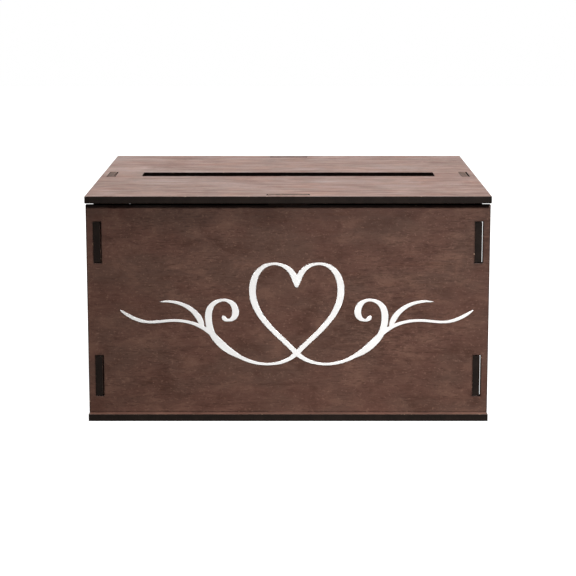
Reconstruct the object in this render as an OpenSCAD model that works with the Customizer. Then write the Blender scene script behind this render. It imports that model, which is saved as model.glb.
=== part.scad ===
// Wedding card box: six flat boards that slot together, a top board that lifts off
// and has a slot for envelopes, and a thin white scrollwork decal on the front panel.
// The front faces -Y, +X is to the right seen from the front, and the box stands on z = 0.

/* [Boards] */
// Thickness of every board
board_t = 5; // [4:0.5:6]
// Width of the box, left to right
box_w = 282; // [260:1:310]
// Depth of the top and bottom boards, front to back
box_d = 252; // [215:1:280]
// Height of the front and back panels
panel_h = 148.3; // [130:0.1:175]
// How far the top and bottom boards stand out past the front and back panels
overhang = 6.85; // [4:0.05:10]
// From the ends of the front and back panels to the outside of the side panels
side_inset = 5.3; // [4:0.1:8]
// Gap between the top board and the front and back panels
lid_gap = 1.8; // [0.5:0.1:4]

/* [Joints] */
// Length of every tenon
tenon_l = 28.6; // [20:0.1:35]
// From the front panel's top and bottom edges to the middle of its slots
slot_inset = 26.5; // [24:0.5:32]
// Play on each side of a tenon in the boards that are fitted for good
fit_play = 0.35; // [0.1:0.05:0.5]
// Extra play on each side of a tenon in the top board, which lifts off
lid_play = 0.2; // [0.15:0.05:0.5]

/* [Card slot] */
// Length of the card slot
card_slot_l = 220; // [190:1:225]
// Width of the card slot
card_slot_w = 23; // [12:1:30]

/* [Decal] */
// Thickness of the white decal
decal_t = 0.25; // [0.2:0.05:0.5]
// Width of the decal's hairlines
hairline_w = 1.8; // [1.2:0.1:2.2]
// Width of the decal's fullest strokes
full_w = 4.8; // [4:0.1:5.6]

/* [Hidden] */

stain = "#6b4a3e";
stain_top = "#a88d80";
decal_white = "#eeece9";

wall_z = board_t;                           // where every wall stands
side_h = panel_h + lid_gap;                 // the side panels' shoulders carry the top board
lid_z = wall_z + side_h;                    // underside of the top board
// The walls have all settled against one side of their slots: to the front, and to the left
front_y = -box_d / 2 + overhang - fit_play; // outside of the front panel
back_y = box_d / 2 - overhang - fit_play;   // outside of the back panel
side_x = box_w / 2 - side_inset - board_t / 2;
side_front_y = front_y + board_t;
side_back_y = back_y - board_t;
past = 1;                                   // how far a cut runs past the face it leaves

drawn_for_w = 282;                          // the box width that the scrollwork is drawn for
decal_scale = box_w / drawn_for_w;
decal_right = 6;                            // how far it sits right of the middle
decal_x = decal_right * decal_scale;
decal_rise = 0.47;                          // its middle, as a part of the panel's height
decal_z = wall_z + decal_rise * panel_h;
stroke_steps = 14;                          // straight pieces in each curve
pen_contrast = 1.6;                         // how sharply a stroke fills out as it turns upright
rounded_part = 0.3;                         // how much of a curve its rounded end takes up
blunt_steps = 0.1;                          // keeps the tip of a stroke from closing to a point

// ---- flat boards -------------------------------------------------------------------

// A box from its low corner and its size, standing in the middle of x = cx
module slab_x(cx, y0, z0, size) translate([cx - size[0] / 2, y0, z0]) cube(size);

// The four places where walls pass through a level board, cut clear on every side
module level_mortises(z0, play) {
    long = tenon_l + 2 * play;
    wide = board_t + 2 * play;
    for (y = [-box_d / 2 + overhang + board_t / 2, box_d / 2 - overhang - board_t / 2])
        translate([-long / 2, y - wide / 2, z0 - past]) cube([long, wide, board_t + 2 * past]);
    for (side = [-1, 1])
        translate([side * side_x - wide / 2, -long / 2, z0 - past])
            cube([wide, long, board_t + 2 * past]);
}

module level_board(z0, play) {
    difference() {
        slab_x(0, -box_d / 2, z0, [box_w, box_d, board_t]);
        level_mortises(z0, play);
    }
}

// A front or back panel whose low-y face is at y0
module cross_panel(y0) {
    slot_l = tenon_l + 2 * fit_play;
    slot_w = board_t + 2 * fit_play;
    difference() {
        union() {
            slab_x(0, y0, wall_z, [box_w, board_t, panel_h]);
            slab_x(0, y0, 0, [tenon_l, board_t, lid_z + board_t]);
        }
        for (side = [-1, 1], z = [slot_inset, panel_h - slot_inset])
            translate([side * side_x - slot_w / 2, y0 - past, wall_z + z - slot_l / 2])
                cube([slot_w, board_t + 2 * past, slot_l]);
    }
}

// A side panel standing in the middle of its slots, less the play it has settled by
module side_panel(side) {
    cx = side * side_x - fit_play;
    run = side_back_y - side_front_y;
    slab_x(cx, side_front_y, wall_z, [board_t, run, side_h]);
    slab_x(cx, -tenon_l / 2 - fit_play, 0, [board_t, tenon_l, lid_z + board_t]);
    for (z = [slot_inset, panel_h - slot_inset])
        slab_x(cx, front_y, wall_z + z - tenon_l / 2, [board_t, back_y - front_y, tenon_l]);
}

module bottom_board() {
    color(stain) level_board(0, fit_play);
}

module front_panel() {
    color(stain) cross_panel(front_y);
}

module back_panel() {
    color(stain) cross_panel(back_y - board_t);
}

module left_side_panel() {
    color(stain) union() side_panel(-1);
}

module right_side_panel() {
    color(stain) union() side_panel(1);
}

module lid_board() {
    color(stain_top) difference() {
        level_board(lid_z, fit_play + lid_play);
        slab_x(0, -card_slot_w / 2, lid_z - past, [card_slot_l, card_slot_w, board_t + 2 * past]);
    }
}

// ---- scrollwork decal --------------------------------------------------------------
// Each stroke is a chain of cubic curves in the plane of the panel, x right and y up from
// the decal's middle. A broad pen gives it its width: hairline where it runs level, and
// full where it runs upright.

function bezier(p, t) =
    pow(1 - t, 3) * p[0] + 3 * t * pow(1 - t, 2) * p[1]
    + 3 * t * t * (1 - t) * p[2] + pow(t, 3) * p[3];

function bezier_run(p, t) =
    3 * pow(1 - t, 2) * (p[1] - p[0]) + 6 * t * (1 - t) * (p[2] - p[1]) + 3 * t * t * (p[3] - p[2]);

// The curves of a chain share their end points: 4 points for the first and 3 for each more
function curves(chain) = (len(chain) - 1) / 3;
function curve(chain, i) = [for (k = [0:3]) chain[3 * i + k]];
function last_step(chain) = curves(chain) * stroke_steps;
function at_step(chain, s) =
    let (i = min(floor(s / stroke_steps), curves(chain) - 1))
    [curve(chain, i), s / stroke_steps - i];

function pen_width(run) =
    let (rise = abs(run[1]) / norm(run))
    hairline_w + (full_w - hairline_w) * pow(rise, pen_contrast);

// free = [start, end]: 1 where that end is rounded off, 0 where it joins another stroke.
// The rounding follows an ellipse.
function rounding(s) =
    let (left = 1 - min(1, (s + blunt_steps) / (rounded_part * stroke_steps)))
    sqrt(1 - left * left);
function fade(s, n, free) =
    (free[0] == 1 ? rounding(s) : 1) * (free[1] == 1 ? rounding(n - s) : 1);

function stroke_side(chain, free, way) = [
    for (s = [0:last_step(chain)])
        let (c = at_step(chain, s), run = bezier_run(c[0], c[1]), n = last_step(chain))
        bezier(c[0], c[1])
        + way * 0.5 * pen_width(run) * fade(s, n, free) * [-run[1], run[0]] / norm(run)
];

function reversed(list) = [for (i = [len(list) - 1:-1:0]) list[i]];

module stroke(chain, free) {
    polygon(concat(stroke_side(chain, free, 1), reversed(stroke_side(chain, free, -1))));
}

// One half of the heart, from its tip up round the lobe to the cleft
heart = [[0, -27], [13, -13], [31, -1], [31, 18], [31, 30], [24, 37], [16, 37],
         [8, 37], [1, 32], [0, 20]];
// The tail that leaves the tip, dips, and runs out to the far end in a slow wave
tail = [[0, -27], [9, -36], [26, -38], [41, -29], [55, -20.5], [60, -7], [79, -4],
        [97, -1], [104, -11], [124, 4]];
// A scroll that springs up from the tail and curls in on itself
scroll = [[37, -31], [52, -26], [63, -15], [62, 1], [61, 13], [45, 15], [43, 4],
          [42, -3], [50, -6], [52, 0]];
// A leaf on the tail
leaf = [[66, -9], [68, 3], [80, 12], [96, 10]];

module half_scrollwork() {
    stroke(heart, [0, 1]);
    stroke(tail, [0, 1]);
    stroke(scroll, [1, 1]);
    stroke(leaf, [1, 1]);
}

module front_flourish() {
    color(decal_white)
        translate([decal_x, front_y, decal_z]) rotate([90, 0, 0])
            linear_extrude(decal_t) scale(decal_scale) {
                half_scrollwork();
                mirror([1, 0]) half_scrollwork();
            }
}

bottom_board();
front_panel();
back_panel();
left_side_panel();
right_side_panel();
lid_board();
front_flourish();
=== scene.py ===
import math

import bpy
import numpy as np
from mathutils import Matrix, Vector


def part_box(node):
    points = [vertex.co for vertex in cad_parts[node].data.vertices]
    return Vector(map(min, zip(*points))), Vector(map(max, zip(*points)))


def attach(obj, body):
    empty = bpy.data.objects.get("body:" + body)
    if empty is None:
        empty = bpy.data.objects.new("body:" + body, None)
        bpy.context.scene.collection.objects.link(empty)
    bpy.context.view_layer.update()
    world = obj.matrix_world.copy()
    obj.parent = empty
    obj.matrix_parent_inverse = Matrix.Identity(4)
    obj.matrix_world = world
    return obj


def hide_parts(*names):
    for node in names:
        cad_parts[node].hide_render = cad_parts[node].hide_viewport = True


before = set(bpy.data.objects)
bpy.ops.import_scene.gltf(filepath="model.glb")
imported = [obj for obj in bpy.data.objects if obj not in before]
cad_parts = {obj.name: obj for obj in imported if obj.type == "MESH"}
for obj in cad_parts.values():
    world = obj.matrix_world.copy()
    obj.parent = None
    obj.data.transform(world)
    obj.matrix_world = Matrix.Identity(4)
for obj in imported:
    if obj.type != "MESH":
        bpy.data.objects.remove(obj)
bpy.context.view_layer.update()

MM = 0.001

# ---- sizes that the boards share, as in the CAD model --------------------------------

BOARD_T = 5 * MM
TENON_L = 28.6 * MM
SLOT_INSET = 26.5 * MM  # from the panels' top and bottom edges to the middle of a slot
FIT_PLAY = 0.35 * MM    # each side of a tenon, in boards fitted for good
LID_PLAY = 0.2 * MM     # and this much more in the top board
SIDE_INSET = 5.3 * MM
OVERHANG = 6.85 * MM
LID_GAP = 1.8 * MM
CARD_SLOT = (220 * MM, 23 * MM)
ARRIS = 0.3 * MM        # the sharp corner of a board, as far as it is eased
HAIR = 0.001 * MM       # far below any real size, but above rounding errors


# ---- meshes --------------------------------------------------------------------------

# the cells of a board are fine beside a cut, where the burnt line is, and coarse elsewhere
CELL_MARGINS = np.array([1, 2.2, 4.5, 9]) * MM
LONGEST_CELL = 16 * MM


def mesh_object(name, points, quads, kinds=None, materials=(), layers=None):
    """An object from arrays: points (n, 3), quads (m, 4), kinds (m,) the material of each
    face, and layers, a dict of one number per point. Its faces are shaded smooth."""
    mesh = bpy.data.meshes.new(name)
    mesh.vertices.add(len(points))
    mesh.vertices.foreach_set("co", np.asarray(points, np.float32).ravel())
    mesh.loops.add(quads.size)
    mesh.loops.foreach_set("vertex_index", quads.astype(np.int32).ravel())
    mesh.polygons.add(len(quads))
    mesh.polygons.foreach_set("loop_start", np.arange(0, quads.size, 4, dtype=np.int32))
    mesh.polygons.foreach_set("use_smooth", np.ones(len(quads), bool))
    for material in materials:
        mesh.materials.append(material)
    if kinds is not None:
        mesh.polygons.foreach_set("material_index", kinds.astype(np.int32))
    for key, values in (layers or {}).items():
        layer = mesh.attributes.new(key, "FLOAT", "POINT")
        layer.data.foreach_set("value", np.asarray(values, np.float32))
    mesh.update(calc_edges=True)
    mesh.validate()
    piece = bpy.data.objects.new(name, mesh)
    bpy.context.scene.collection.objects.link(piece)
    return piece


def ruled_lines(rects, axis, margins, longest):
    """The grid lines of a board along one axis: every side of every rectangle, the same
    sides moved by the margins to either side, and filled so that no gap is over longest."""
    sides = np.unique(np.array([r[2 * axis:2 * axis + 2] for r in rects]).round(7))
    lines = np.unique(np.concatenate([sides] + [sides + s * m for m in margins for s in (-1, 1)]))
    lines = lines[(lines >= sides[0]) & (lines <= sides[-1])]
    # beside a side, no line stands closer than the first margin
    close = np.abs(lines[:, None] - sides[None]).min(1)
    lines = lines[(close < 1e-7) | (close > 0.9 * margins[0])]
    fill = [np.linspace(a, b, int(np.ceil((b - a) / longest)) + 1)[:-1]
            for a, b in zip(lines[:-1], lines[1:])]
    return np.append(np.concatenate(fill), lines[-1])


def inside(rects, u, v):
    """Which of the points (u, v) are in one of the rectangles (u low, u high, v low, v high)."""
    return np.any([(u > r[0]) & (u < r[1]) & (v > r[2]) & (v < r[3]) for r in rects], axis=0)


def cut_board(name, normal, low, solid, holes, materials):
    """A board cut from sheet: the rectangles in solid less the rectangles in holes, as a
    grid of cells, each a quad on both faces, with a wall wherever a kept cell meets an
    empty one. normal is the axis through the sheet, low its lower face. Layers: edge, the
    distance to the nearest cut in mm; through, 0 to 1 across the sheet; run, along a cut in
    mm; one that is 1 on the rim of a hole, where the cut walls get painted shade; worn, 1 at
    the very top of an upright board, which is where its upper tenon ends."""
    u = ruled_lines(solid + holes, 0, CELL_MARGINS, LONGEST_CELL)
    v = ruled_lines(solid + holes, 1, CELL_MARGINS, LONGEST_CELL)
    mid_u, mid_v = np.meshgrid((u[1:] + u[:-1]) / 2, (v[1:] + v[:-1]) / 2, indexing="ij")
    kept = inside(solid, mid_u, mid_v)
    if holes:
        kept &= ~inside(holes, mid_u, mid_v)

    def corner(i, j, layer):
        return (layer * len(u) + i) * len(v) + j

    i, j = np.nonzero(kept)
    upper = np.stack([corner(i + a, j + b, 1) for a, b in ((0, 0), (1, 0), (1, 1), (0, 1))], 1)
    lower = np.stack([corner(i + a, j + b, 0) for a, b in ((0, 0), (0, 1), (1, 1), (1, 0))], 1)
    walls, cuts = [], []
    edge_of = np.pad(kept, 1).astype(int)
    for way in (1, -1):
        # a wall across u, where going in the direction of way leaves the board
        i, j = np.nonzero((edge_of[:-1, 1:-1] - edge_of[1:, 1:-1]) == way)
        ends = (j, j + 1) if way > 0 else (j + 1, j)
        walls.append(np.stack([corner(i, ends[0], 0), corner(i, ends[1], 0),
                               corner(i, ends[1], 1), corner(i, ends[0], 1)], 1))
        cuts.append(np.stack([u[i], v[j], u[i], v[j + 1]], 1))
        # and a wall across v
        i, j = np.nonzero((edge_of[1:-1, :-1] - edge_of[1:-1, 1:]) == way)
        ends = (i + 1, i) if way > 0 else (i, i + 1)
        walls.append(np.stack([corner(ends[0], j, 0), corner(ends[1], j, 0),
                               corner(ends[1], j, 1), corner(ends[0], j, 1)], 1))
        cuts.append(np.stack([u[i], v[j], u[i + 1], v[j]], 1))
    walls, cuts = np.concatenate(walls), np.concatenate(cuts)
    quads = np.concatenate([upper, lower, walls])
    kinds = np.concatenate([np.zeros(len(upper) + len(lower)), np.ones(len(walls))])

    used, quads = np.unique(quads, return_inverse=True)
    quads = quads.reshape(-1, 4)
    layer, rest = np.divmod(used, len(u) * len(v))
    pu, pv = u[rest // len(v)], v[rest % len(v)]
    # distance from each point to each cut: as far as it lies outside the cut's own box
    off_u = np.maximum(cuts[:, 0] - pu[:, None], pu[:, None] - cuts[:, 2]).clip(0)
    off_v = np.maximum(cuts[:, 1] - pv[:, None], pv[:, None] - cuts[:, 3]).clip(0)
    edge = np.hypot(off_u, off_v).min(1) / MM
    # the rims of the holes: there the cut walls are drawn near black, as painted shade
    rims = [(r[0] - HAIR, r[1] + HAIR, r[2] - HAIR, r[3] + HAIR) for r in holes]
    hole_shade = inside(rims, pu, pv) if holes else np.zeros(len(pu))
    worn = (pv > v[-1] - HAIR) & (normal != "z")

    w = low + layer * BOARD_T
    order = {"z": (pu, pv, w), "y": (pu, w, pv), "x": (w, pu, pv)}[normal]
    if normal == "y":  # swapping two axes turns the faces inside out
        quads = quads[:, ::-1]
    piece = mesh_object(name, np.stack(order, 1), quads, kinds, materials,
                        layers={"edge": edge, "through": layer, "run": (pu + pv) / MM,
                                "hole_shade": hole_shade, "worn": worn})
    eased = piece.modifiers.new("eased arris", "BEVEL")
    eased.width, eased.segments = ARRIS, 2
    eased.limit_method, eased.angle_limit = "ANGLE", math.radians(40)
    eased.harden_normals = True
    return piece


# ---- nodes and colours ---------------------------------------------------------------


def colour(hex_code):
    """An sRGB hex colour as linear red, green, blue and 1."""
    c = np.array([int(hex_code[k:k + 2], 16) / 255 for k in (1, 3, 5)])
    linear = np.where(c <= 0.04045, c / 12.92, ((c + 0.055) / 1.055) ** 2.4)
    return (*linear, 1.0)


def add(material, kind, inputs=None, out=0, **settings):
    """Adds a shader node and returns its output number out: settings are the node's own
    values, and inputs gives each socket, by name or number, a value or an output to link."""
    tree = material.node_tree
    new = tree.nodes.new("ShaderNode" + kind)
    for key, value in settings.items():
        setattr(new, key, value)
    for key, value in (inputs or {}).items():
        if isinstance(value, bpy.types.NodeSocket):
            tree.links.new(value, new.inputs[key])
        else:
            new.inputs[key].default_value = value
    return new.outputs[out] if new.outputs else None


def new_material(name):
    """A material with no nodes yet."""
    material = bpy.data.materials.new(name)
    material.use_nodes = True
    material.node_tree.nodes.clear()
    return material


def finish_material(material, relief, relief_mm, **sockets):
    """A Principled surface with a bump of that relief pattern and depth. An underscore in
    a socket's name stands for a space."""
    bump = add(material, "Bump", {"Height": relief, "Distance": relief_mm * MM})
    names = {key.replace("_", " "): value for key, value in sockets.items()}
    shader = add(material, "BsdfPrincipled", {**names, "Normal": bump})
    add(material, "OutputMaterial", {"Surface": shader})


def patches(material, size_mm, detail=3.0, roughness=0.55, warp=0.0, seed=(0, 0, 0)):
    """Noise on the object's own coordinates whose patches measure size_mm along x, y, z."""
    place = add(material, "TexCoord", out="Object")
    scaled = add(material, "Mapping", {"Vector": place, "Location": seed,
                                       "Scale": tuple(1 / (s * MM) for s in size_mm)})
    return add(material, "TexNoise", {"Vector": scaled, "Scale": 1.0, "Detail": detail,
                                      "Roughness": roughness, "Distortion": warp})


def washes(material, base, coats):
    """Lays colours over base one after another. Each coat is a pattern, the pattern's value
    where the coat begins and where it is full, how much it covers there, and its colour."""
    for pattern, begins, full, cover, hex_code in coats:
        mask = add(material, "MapRange", {"Value": pattern, "From Min": begins, "From Max": full,
                                          "To Max": cover}, interpolation_type="SMOOTHSTEP")
        base = add(material, "Mix", {0: mask, 6: base, 7: colour(hex_code)}, out=2,
                   data_type="RGBA")
    return base


# ---- materials -----------------------------------------------------------------------


def stained_ply(name, grain):
    """Birch ply, sanded and wiped with a walnut water stain. The stain takes unevenly, in
    cloudy patches a centimetre or two wide over a faint grain. The eye sees a dull, mottled
    dark brown, and a silky pale sheen where the light comes in low."""
    m = new_material(name)

    def along(length, width):
        return (length, width, width) if grain == "x" else (width, length, width)

    cloud = patches(m, along(26, 15), 6, 0.66, 0.5)
    tint = patches(m, along(44, 26), 2, 0.5, 0.4, seed=(3, 5, 7))
    mottle = patches(m, along(7, 3.6), 4, 0.7, 0.8, seed=(8, 1, 2))
    streak = patches(m, along(52, 3.4), 3, 0.6, 0.3, seed=(11, 2, 4))
    # pores are 0.1 mm wide in the wood: drawn 0.8 mm wide so that they show at all
    pore = patches(m, along(5, 0.8), 2, 0.5, 0.2, seed=(1, 9, 3))
    speck = patches(m, along(2.0, 1.2), 2, 0.6, 0.3, seed=(5, 1, 8))
    chip = patches(m, (2.4, 2.4, 2.4), 1, 0.5, seed=(2, 2, 6))
    # the grain stands out in some places and is sanded shut in others
    raised = patches(m, along(150, 90), 1, 0.5, seed=(4, 7, 1))
    open_pore = add(m, "Math", {0: raised, 1: 0.6, 2: pore}, operation="MULTIPLY_ADD")
    open_mottle = add(m, "Math", {0: raised, 1: 0.4, 2: mottle}, operation="MULTIPLY_ADD")
    edge = add(m, "Attribute", out="Fac", attribute_name="edge")

    near = add(m, "MapRange", {"Value": edge, "From Min": 0.1, "From Max": 1.1, "To Min": 1.0,
                               "To Max": 0.0}, interpolation_type="SMOOTHSTEP")
    chipped = add(m, "MapRange", {"Value": chip, "From Min": 0.70, "From Max": 0.74})
    bare = add(m, "Math", {0: near, 1: chipped}, operation="MULTIPLY")
    base = washes(m, colour("#5d3f35"), (
        (tint, 0.38, 0.66, 0.50, "#574339"),
        (cloud, 0.48, 0.66, 0.75, "#6f5043"),
        (cloud, 0.50, 0.32, 0.75, "#4b3026"),
        (open_mottle, 0.72, 0.98, 0.50, "#765749"),
        (mottle, 0.46, 0.28, 0.45, "#452a22"),
        (streak, 0.52, 0.72, 0.25, "#402922"),
        (open_pore, 0.88, 1.04, 0.50, "#39241c"),
        (speck, 0.58, 0.74, 0.45, "#886657"),
        # the laser's smoke leaves a thin brown line beside each cut
        (edge, 1.3, 0.2, 0.50, "#2f221c"),
        # and the arris is chipped to bare wood in a few places
        (bare, 0.0, 1.0, 1.0, "#b3927c"),
    ))
    # the stain also seals the surface unevenly, so the sheen comes and goes
    sealed = patches(m, along(60, 40), 6, 0.7, 0.6, seed=(6, 3, 9))
    gloss = add(m, "Math", {0: sealed, 1: streak}, operation="ADD")
    rough = add(m, "MapRange", {"Value": gloss, "From Min": 0.75, "From Max": 1.25,
                                "To Min": 0.64, "To Max": 0.34})
    shine = add(m, "MapRange", {"Value": gloss, "From Min": 0.75, "From Max": 1.25,
                                "To Min": 0.20, "To Max": 0.44})
    relief = add(m, "Math", {0: pore, 1: -0.6, 2: mottle}, operation="MULTIPLY_ADD")
    finish_material(m, relief, 0.08, Base_Color=base, Roughness=rough, IOR=1.5,
                    Specular_IOR_Level=shine)
    return m


def charred_cut(name):
    """The laser-cut edge of the ply: burnt near black, dull, with the fine upright ribs that
    the beam leaves and a hint of the plies. The walls of a cut inside the board, the holes,
    are painted near black and given less shine, as painted shade. The tenon ends that come up
    through the top board are rubbed half clean. The eye sees an almost black brown line."""
    m = new_material(name)
    run = add(m, "Attribute", out="Fac", attribute_name="run")
    through = add(m, "Attribute", out="Fac", attribute_name="through")
    hole_shade = add(m, "Attribute", out="Fac", attribute_name="hole_shade")
    worn = add(m, "Attribute", out="Fac", attribute_name="worn")
    # the beam's ribs, about 0.4 mm apart, waver a little across the sheet
    along_cut = add(m, "Math", {0: run, 1: 2.5}, operation="MULTIPLY")
    across_cut = add(m, "Math", {0: through, 1: 1.5}, operation="MULTIPLY")
    place = add(m, "CombineXYZ", {0: along_cut, 1: across_cut})
    rib = add(m, "TexNoise", {"Vector": place, "Scale": 1.0, "Detail": 2.0, "Roughness": 0.5})
    cloud = patches(m, (9, 9, 9), 3, 0.6, seed=(4, 4, 4))
    # five plies: each glue line shows as a thin darker line
    plies = add(m, "Math", {0: through, 1: 5.0}, operation="MULTIPLY")
    glue = add(m, "Math", {0: plies, 1: 0.5}, operation="PINGPONG")
    rubbing = patches(m, (4, 4, 4), 3, 0.6, seed=(9, 6, 2))
    rubbed = add(m, "Math", {0: worn, 1: rubbing}, operation="MULTIPLY")
    base = washes(m, colour("#19130f"), (
        (rib, 0.35, 0.70, 1.0, "#231a16"),
        (cloud, 0.40, 0.70, 0.5, "#2a201b"),
        (glue, 0.14, 0.0, 0.5, "#100c0a"),
        # painted shade: the walls of the holes drawn near black, darker than the other cuts
        (hole_shade, 0.2, 0.8, 0.85, "#060404"),
        (rubbed, 0.10, 0.40, 0.8, "#402f27"),
        (rubbed, 0.50, 0.62, 0.7, "#6e554a"),
    ))
    # those same walls also lose their shine, which deepens the painted shade
    shine = add(m, "MapRange", {"Value": hole_shade, "To Min": 0.15, "To Max": 0.0})
    finish_material(m, rib, 0.05, Base_Color=base, Roughness=0.7, IOR=1.5,
                    Specular_IOR_Level=shine)
    return m


def white_paint(name):
    """White acrylic paint laid through a stencil: matt, opaque and even, with the fine
    orange peel of a roller."""
    m = new_material(name)
    peel = patches(m, (1.1, 1.1, 1.1), 3, 0.6, seed=(7, 3, 1))
    cloud = patches(m, (14, 14, 14), 2, 0.5, seed=(2, 8, 5))
    base = washes(m, colour("#fbfaf8"), ((cloud, 0.35, 0.65, 1.0, "#f6f4f2"),))
    finish_material(m, peel, 0.02, Base_Color=base, Roughness=0.55, IOR=1.48)
    return m


grain_across = stained_ply("walnut_stained_ply", "x")
grain_deep = stained_ply("walnut_stained_ply_sides", "y")
charred = charred_cut("charred_ply_edge")
paint = white_paint("white_acrylic_paint")


# ---- boards --------------------------------------------------------------------------


def centred(cu, cv, lu, lv):
    """The rectangle (u low, u high, v low, v high) about a middle, with these two lengths."""
    return (cu - lu / 2, cu + lu / 2, cv - lv / 2, cv + lv / 2)


def wall_mortises(low, high, play):
    """The four mortises of a level board: front and back in the planes of those panels,
    left and right in the middle of their length."""
    wide, long = BOARD_T + 2 * play, TENON_L + 2 * play
    y = high.y - OVERHANG - BOARD_T / 2
    x = high.x - SIDE_INSET - BOARD_T / 2
    return [centred(0, s * y, long, wide) for s in (-1, 1)] \
        + [centred(s * x, 0, wide, long) for s in (-1, 1)]


def level_board(node, play, more_holes=()):
    """Bottom or top board: the whole sheet, with a mortise for each wall."""
    low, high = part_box(node)
    holes = wall_mortises(low, high, play) + list(more_holes)
    piece = cut_board(node + "_ply", "z", low.z, [(low.x, high.x, low.y, high.y)], holes,
                      [grain_across, charred])
    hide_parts(node)
    return piece


def slot_heights():
    """The middles of the two tenon joints up each corner, from the front panel's height."""
    low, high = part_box("front_panel")
    foot, top = low.z + BOARD_T, high.z - BOARD_T - LID_GAP
    return foot + SLOT_INSET, top - SLOT_INSET


def cross_panel(node):
    """Front or back panel: the sheet, one tenon up and one down, and four slots."""
    low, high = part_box(node)
    foot, top = low.z + BOARD_T, high.z - BOARD_T - LID_GAP
    x = high.x - SIDE_INSET - BOARD_T / 2
    solid = [(low.x, high.x, foot, top), (-TENON_L / 2, TENON_L / 2, low.z, high.z)]
    holes = [centred(s * x, z, BOARD_T + 2 * FIT_PLAY, TENON_L + 2 * FIT_PLAY)
             for s in (-1, 1) for z in slot_heights()]
    piece = cut_board(node + "_ply", "y", low.y, solid, holes, [grain_across, charred])
    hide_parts(node)
    return piece


def side_panel(node):
    """Left or right panel: the sheet, one tenon up and one down, and two at each end."""
    low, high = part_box(node)
    mid = (low.y + high.y) / 2
    solid = [(low.y + BOARD_T, high.y - BOARD_T, low.z + BOARD_T, high.z - BOARD_T),
             (mid - TENON_L / 2, mid + TENON_L / 2, low.z, high.z)]
    solid += [centred(mid, z, high.y - low.y, TENON_L) for z in slot_heights()]
    piece = cut_board(node + "_ply", "x", low.x, solid, [], [grain_deep, charred])
    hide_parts(node)
    return piece


box_pieces = [level_board("bottom_board", FIT_PLAY), cross_panel("front_panel"),
              cross_panel("back_panel"), side_panel("left_side_panel"),
              side_panel("right_side_panel")]
top_board = level_board("lid_board", FIT_PLAY + LID_PLAY, [centred(0, 0, *CARD_SLOT)])
for piece in box_pieces:
    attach(piece, "box")
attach(top_board, "lid")


# ---- painted scrollwork --------------------------------------------------------------
# The chains of cubic curves are those of the CAD decal, in mm from its middle: x right,
# y up, 4 points for the first curve and 3 for each one after it.

HEART = [(0, -27), (13, -13), (31, -1), (31, 18), (31, 30), (24, 37), (16, 37),
         (8, 37), (1, 32), (0, 20)]
TAIL = [(0, -27), (9, -36), (26, -38), (41, -29), (55, -20.5), (60, -7), (79, -4),
        (97, -1), (104, -11), (124, 4)]
SCROLL = [(37, -31), (52, -26), (63, -15), (62, 1), (61, 13), (45, 15), (43, 4),
          (42, -3), (50, -6), (52, 0)]
LEAF = [(66, -9), (68, 3), (80, 12), (96, 10)]
# one half of the heart crosses over at its point and runs on as the other side's tail
HEART_AND_TAIL = [(-x, y) for x, y in HEART[::-1]] + TAIL[1:]
HAIRLINE, FULL = 1.8, 4.8   # mm, the pen's narrowest and widest stroke
PEN_CONTRAST = 1.6          # the greater, the fewer directions are broad
END_TAPER = 0.3             # of the first and last curve, over which an end is rounded off
PAINT_T = 0.24              # mm, the first stroke
PAINT_STEP = 0.01           # mm, and each stroke is this much thinner than the last
PAINT_SUNK = 0.05           # mm, soaked into the wood
CURVE_STEPS = 40            # along each cubic curve


def chain_points(chain):
    """Points and directions along a chain of cubic curves, by the Bernstein formula."""
    p = np.array(chain, float)
    t = np.linspace(0, 1, CURVE_STEPS + 1)[:, None]
    points, runs = [], []
    for k in range(0, len(p) - 1, 3):
        a, b, c, d = p[k:k + 4]
        part = (1 - t) ** 3 * a + 3 * t * (1 - t) ** 2 * b + 3 * t ** 2 * (1 - t) * c + t ** 3 * d
        run = (1 - t) ** 2 * (b - a) + 2 * t * (1 - t) * (c - b) + t ** 2 * (d - c)
        start = 0 if k == 0 else 1
        points.append(part[start:])
        runs.append(run[start:])
    return np.concatenate(points), np.concatenate(runs)


def stroke_surface(chain, mirror, thick):
    """One stroke, thick mm: a flat section with rounded shoulders carried along the chain. Its
    width is the pen's rule, hairline + (full - hairline) * |rise| ** contrast, rounded off at
    each end."""
    points, run = chain_points(chain)
    run = run / np.linalg.norm(run, axis=1)[:, None]
    width = HAIRLINE + (FULL - HAIRLINE) * np.abs(run[:, 1]) ** PEN_CONTRAST
    steps = np.arange(len(points))
    reach = END_TAPER * CURVE_STEPS
    for s in (steps, steps[::-1]):
        left = 1 - np.minimum(1, (s + 0.15) / reach)
        width = width * np.sqrt(1 - left ** 2)
    # the section, from side to side: how far across it is, and how high it stands there
    across = np.array([-1, -0.985, -0.95, -0.9, -0.84, 0.84, 0.9, 0.95, 0.985, 1])
    height = thick * np.array([0, 0.6, 0.9, 1, 1, 1, 1, 0.9, 0.6, 0])
    side = np.stack([-run[:, 1], run[:, 0]], 1)
    flat = points[:, None] + side[:, None] * (width[:, None] * across / 2)[:, :, None]
    thin = np.minimum(1, width / HAIRLINE)[:, None]  # it thins out where its end narrows
    x, y = flat[..., 0] * mirror, flat[..., 1]
    depth = height[None] * thin
    grid = np.stack([x, -depth, y], -1)
    back = np.stack([x[:, ::-1], np.full_like(x, PAINT_SUNK), y[:, ::-1]], -1)
    return np.concatenate([grid, back], 1)


def tube_quads(rings, sides, start, flip):
    """Quads of a closed tube of rings, each with so many sides, with its two ends capped by
    folding the last ring onto itself. start is the number of its first point, and flip
    turns the faces over."""
    i, j = np.meshgrid(np.arange(rings - 1), np.arange(sides), indexing="ij")
    k = (j + 1) % sides
    quads = np.stack([i * sides + j, i * sides + k, (i + 1) * sides + k, (i + 1) * sides + j], -1)
    quads = quads.reshape(-1, 4)
    fold = np.arange(sides // 2 - 1)
    cap = np.stack([fold, sides - 1 - fold, sides - 2 - fold, fold + 1], -1)
    quads = np.concatenate([quads, cap, cap[:, ::-1] + (rings - 1) * sides])
    return (quads[:, ::-1] if flip else quads) + start


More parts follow.
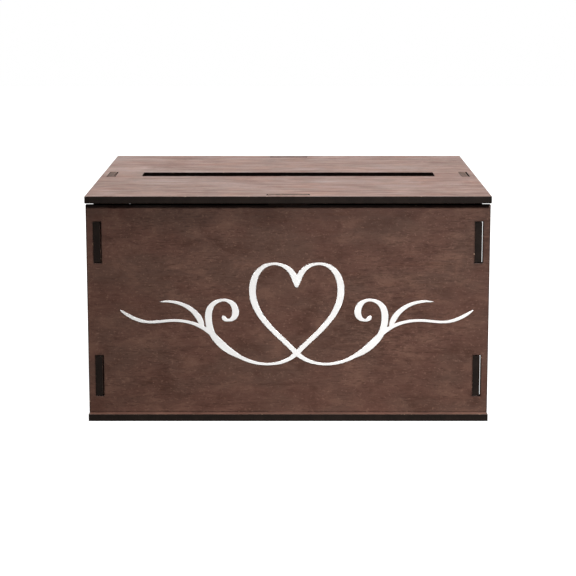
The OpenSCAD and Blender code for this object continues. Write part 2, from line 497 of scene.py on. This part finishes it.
def scrollwork():
    """The strokes and their mirror images, as one piece in the decal's place."""
    low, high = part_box("front_flourish")
    middle = (low.x + high.x) / 2
    parts, faces, count = [], [], 0
    for mirror in (1, -1):
        for chain in (HEART_AND_TAIL, SCROLL, LEAF):
            # the strokes cross, and with a step between them no two share a surface
            surface = stroke_surface(chain, mirror, PAINT_T - PAINT_STEP * len(parts))
            rings, sides = surface.shape[:2]
            parts.append(surface.reshape(-1, 3))
            faces.append(tube_quads(rings, sides, count, mirror > 0))
            count += rings * sides
    points = np.concatenate(parts)
    # from the decal's middle to its place on the front panel
    points = points * MM + np.array([middle, high.y, low.z - points[:, 2].min() * MM])
    piece = mesh_object("front_scrollwork_paint", points, np.concatenate(faces), None, [paint])
    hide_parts("front_flourish")
    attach(piece, "box")
    return piece


scrollwork()


# ---- stage: pale floor, reflector behind, soft lights, camera ---------------------------

STAGE_HALF = 14.0  # m, half its width: so wide that no edge of it shows beside the box

def sheet(name, y, z, material):
    """A wide sheet: the outline (y, z) carried straight across, left to right."""
    points = np.stack([np.stack([np.full_like(y, x), y, z], 1) for x in (-STAGE_HALF, STAGE_HALF)])
    n = len(y)
    i = np.arange(n - 1)
    quads = np.stack([i, i + n, i + n + 1, i + 1], 1)
    piece = mesh_object(name, points.reshape(-1, 3), quads, None, [material])
    return piece


def floor_and_reflector():
    """The floor that the box stands on, and the sheet behind it that the top reflects."""
    # acrylic lit from below: its glow makes it white all over, so no shadow shows on it
    acrylic = new_material("lit_white_acrylic")
    ripple = patches(acrylic, (6, 6, 6), 3, 0.6)
    finish_material(acrylic, ripple, 0.01, Base_Color=colour("#6e6e6e"), Roughness=0.9,
                    Emission_Color=colour("#ffffff"), Emission_Strength=1.0)
    floor = sheet("acrylic_floor", np.array([-STAGE_HALF, STAGE_HALF]), np.zeros(2), acrylic)
    # the camera sees the floor, but diffuse and glossy rays don't: its white would fill the
    # shadow under the top board and wash out the front from below
    floor.visible_diffuse = False
    floor.visible_glossy = False

    # a quarter circle of pale paper, and a wall above it, out of the camera's sight: the top
    # board's sheen is its reflection
    paper = new_material("pale_reflector_paper")
    fibre = patches(paper, (6, 6, 6), 3, 0.6)
    tone = washes(paper, colour("#cdccca"), ((fibre, 0.3, 0.7, 1.0, "#d1d0ce"),))
    finish_material(paper, fibre, 0.02, Base_Color=tone, Roughness=0.9)
    start, bend, tall = 3.0, 1.5, 4.0  # m: where it leaves the floor, its curve, its height
    angle = np.linspace(0, math.pi / 2, 25)
    reflector = sheet("paper_reflector", np.append(start + bend * np.sin(angle), start + bend),
                      np.append(bend * (1 - np.cos(angle)), tall), paper)
    reflector.visible_camera = False


def soft_light(name, place, aim, size, power, spread=180):
    """A square softbox at place, pointing at aim. A grid in front of it can narrow its beam
    to spread degrees."""
    lamp = bpy.data.lights.new(name, "AREA")
    lamp.size, lamp.energy, lamp.spread = size, power, math.radians(spread)
    o = bpy.data.objects.new(name, lamp)
    bpy.context.scene.collection.objects.link(o)
    o.location = place
    toward = np.array(aim, float) - np.array(place, float)
    flat = math.hypot(toward[0], toward[1])
    o.rotation_euler = (math.atan2(flat, -toward[2]), 0, math.atan2(-toward[0], toward[1]))
    o.visible_camera = False
    return o


floor_and_reflector()
soft_light("overhead", (0.3, -0.2, 1.72), (0, -0.05, 0.1), 1.5, 54)
# a small spot from the front right, below the overhead light
soft_light("key_right", (0.34, -0.90, 0.66), (0.04, -0.12, -0.03), 0.12, 0.87, 50)
# aimed at the reflector, not at the box
soft_light("wall_wash", (0, 2.2, 3.2), (0, 4.6, 1.0), 2.5, 190)
soft_light("front_fill", (0, -3.2, 0.6), (0, 0, 0.1), 2.0, 5)
# one on each side and a little behind, so that neither the sides nor the back go black
for side in (-1, 1):
    soft_light("side_fill", (side * 1.7, 1.1, 0.9), (0, 0, 0.1), 0.9, 22)

# past the floor the camera sees white, which lights nothing
world = bpy.data.worlds.new("studio")
bpy.context.scene.world = world
world.use_nodes = True
sky = world.node_tree.nodes["Background"]
sky.inputs["Color"].default_value = colour("#ffffff")
sky.inputs["Strength"].default_value = 1.0
world.cycles_visibility.diffuse = False
world.cycles_visibility.glossy = False

# the camera stands 1.4 m in front of the box's middle and looks a little down on it
camera_data = bpy.data.cameras.new("camera")
camera_data.lens = 115.7
camera_data.sensor_width = 36
camera_data.clip_end = 50
camera = bpy.data.objects.new("camera", camera_data)
camera.location = (0.0025, -1.3955, 0.3308)
camera.rotation_euler = (math.radians(90 - 10.49), math.radians(0.03), math.radians(0.11))
bpy.context.scene.collection.objects.link(camera)
bpy.context.scene.camera = camera
bpy.context.scene.view_settings.view_transform = "Standard"
